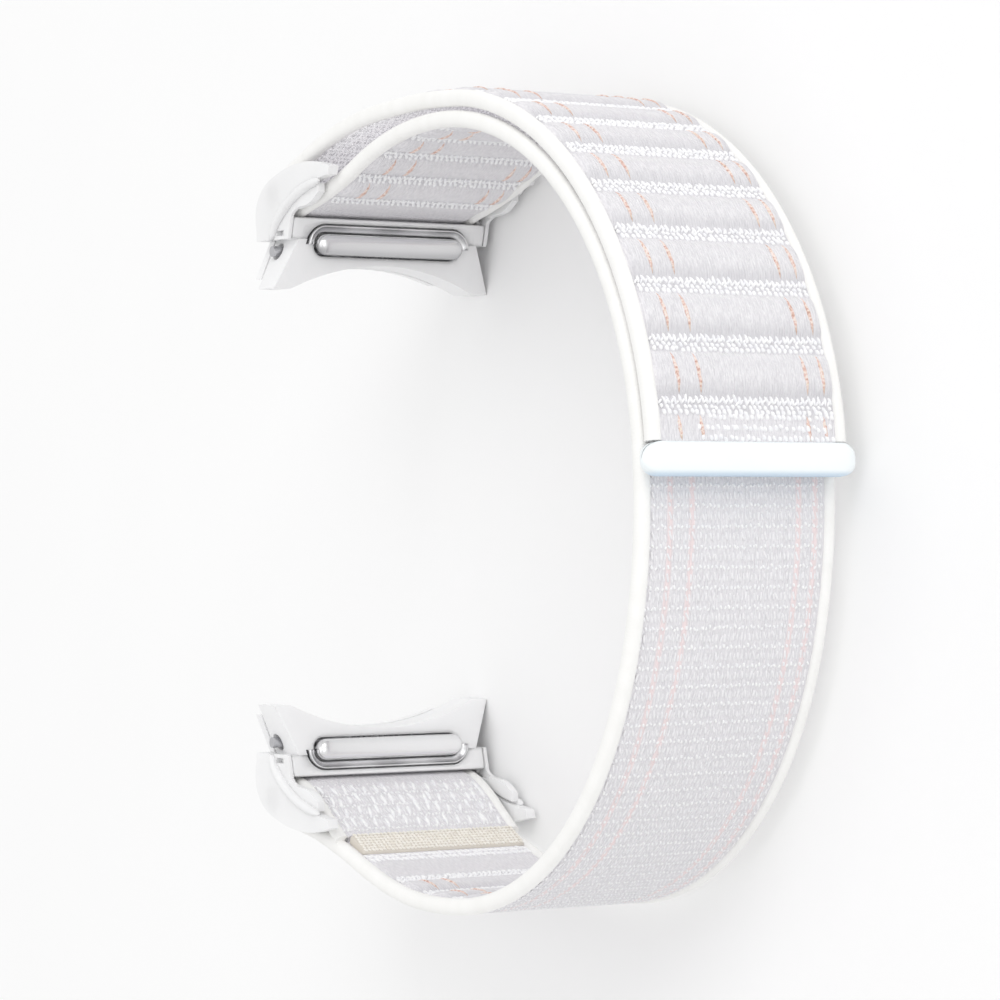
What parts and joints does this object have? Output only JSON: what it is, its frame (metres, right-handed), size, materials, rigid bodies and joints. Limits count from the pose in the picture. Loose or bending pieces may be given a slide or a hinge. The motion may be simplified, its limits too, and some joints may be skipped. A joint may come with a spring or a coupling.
{
  "type": "nylon watch strap",
  "caption": "Woven nylon strap loop with bound edges, a hook-and-loop flap with an end tab, and a quick-release end link with a push button at each end.",
  "frame": {"origin": "bottom centre of the bounding box, with the strap lying on its edge", "axes": "+X towards the upper end link, +Y towards the opening between the end links, +Z along the width of the strap"},
  "size_m": [0.073, 0.0658, 0.0234],
  "materials": {
    "webbing": "ribbed weave",
    "binding": "bound edge",
    "seam": "stitched",
    "tab": "smooth",
    "hook": "hook tape",
    "plastic": "satin",
    "chrome": "polished",
    "steel": "plain"
  },
  "bodies": {
    "band": {"strap_webbing": "webbing", "edge_binding_low": "binding", "edge_binding_high": "binding", "sewn_seam_tape": "seam"},
    "flap_1": {"flap_1_binding_low": "binding", "flap_1_binding_high": "binding", "flap_1_webbing": "webbing"},
    "flap_2": {"flap_2_binding_low": "binding", "flap_2_binding_high": "binding", "flap_2_webbing": "webbing"},
    "flap_3": {"flap_3_binding_low": "binding", "flap_3_binding_high": "binding", "flap_3_webbing": "webbing"},
    "flap_4": {"flap_4_binding_low": "binding", "flap_4_binding_high": "binding", "flap_4_webbing": "webbing"},
    "flap_5": {"flap_5_binding_low": "binding", "flap_5_binding_high": "binding", "flap_free_end_webbing": "webbing", "hook_patch": "hook", "end_tab": "tab"},
    "upper_link": {"upper_link_body": "plastic", "upper_outer_shell": "plastic", "upper_cover_plate": "plastic", "upper_button_bezel": "chrome", "upper_strap_bar": "steel", "upper_pin_spring": "steel"},
    "upper_button": {"upper_push_button": "chrome"},
    "upper_pin_low": {"upper_lock_pin_low": "steel"},
    "upper_pin_high": {"upper_lock_pin_high": "steel"},
    "lower_link": {"lower_link_body": "plastic", "lower_outer_shell": "plastic", "lower_cover_plate": "plastic", "lower_button_bezel": "chrome", "lower_strap_bar": "steel", "lower_pin_spring": "steel"},
    "lower_button": {"lower_push_button": "chrome"},
    "lower_pin_low": {"lower_lock_pin_low": "steel"},
    "lower_pin_high": {"lower_lock_pin_high": "steel"}
  },
  "joints": [
    {"name": "flap_fold_1", "type": "hinge", "parent": "band", "child": "flap_1", "pos_m": [0.034, 0.02296, 0.0117], "axis": [0, 0, 1], "range_deg": [0, 30]},
    {"name": "flap_fold_2", "type": "hinge", "parent": "flap_1", "child": "flap_2", "pos_m": [0.03612, 0.00736, 0.0117], "axis": [0, 0, 1], "range_deg": [0, 30]},
    {"name": "flap_fold_3", "type": "hinge", "parent": "flap_2", "child": "flap_3", "pos_m": [0.03445, -0.00833, 0.0117], "axis": [0, 0, 1], "range_deg": [0, 30]},
    {"name": "flap_fold_4", "type": "hinge", "parent": "flap_3", "child": "flap_4", "pos_m": [0.02623, -0.02183, 0.0117], "axis": [0, 0, 1], "range_deg": [0, 30]},
    {"name": "flap_fold_5", "type": "hinge", "parent": "flap_4", "child": "flap_5", "pos_m": [0.01287, -0.03027, 0.0117], "axis": [0, 0, 1], "range_deg": [0, 30]},
    {"name": "upper_link_tilt", "type": "hinge", "parent": "band", "child": "upper_link", "pos_m": [0.0287, 0.02959, 0.0117], "axis": [0, 0, -1], "range_deg": [-3, 30]},
    {"name": "upper_button_press", "type": "slide", "parent": "upper_link", "child": "upper_button", "axis": [0, 1, 0], "range_m": [0, 0.00085], "stiffness_N_per_m": 250, "springref_m": -0.0004},
    {"name": "upper_pin_retract_low", "type": "slide", "parent": "upper_link", "child": "upper_pin_low", "axis": [0, 0, 1], "range_m": [0, 0.00085], "deforming": ["upper_pin_spring"]},
    {"name": "upper_pin_retract_high", "type": "slide", "parent": "upper_link", "child": "upper_pin_high", "axis": [0, 0, -1], "range_m": [0, 0.00085]},
    {"name": "lower_link_tilt", "type": "hinge", "parent": "band", "child": "lower_link", "pos_m": [-0.0281, 0.02959, 0.0117], "axis": [0, 0, 1], "range_deg": [-3, 30]},
    {"name": "lower_button_press", "type": "slide", "parent": "lower_link", "child": "lower_button", "axis": [0, 1, 0], "range_m": [0, 0.00085], "stiffness_N_per_m": 250, "springref_m": -0.0004},
    {"name": "lower_pin_retract_low", "type": "slide", "parent": "lower_link", "child": "lower_pin_low", "axis": [0, 0, 1], "range_m": [0, 0.00085], "deforming": ["lower_pin_spring"]},
    {"name": "lower_pin_retract_high", "type": "slide", "parent": "lower_link", "child": "lower_pin_high", "axis": [0, 0, -1], "range_m": [0, 0.00085]}
  ],
  "couplings": [
    {"joint": "flap_fold_2", "follows": "flap_fold_1", "ratio": 1},
    {"joint": "flap_fold_3", "follows": "flap_fold_1", "ratio": 1},
    {"joint": "flap_fold_4", "follows": "flap_fold_1", "ratio": 1},
    {"joint": "flap_fold_5", "follows": "flap_fold_1", "ratio": 1},
    {"joint": "upper_pin_retract_low", "follows": "upper_button_press", "ratio": 1},
    {"joint": "upper_pin_retract_high", "follows": "upper_button_press", "ratio": 1},
    {"joint": "lower_pin_retract_low", "follows": "lower_button_press", "ratio": 1},
    {"joint": "lower_pin_retract_high", "follows": "lower_button_press", "ratio": 1}
  ]
}
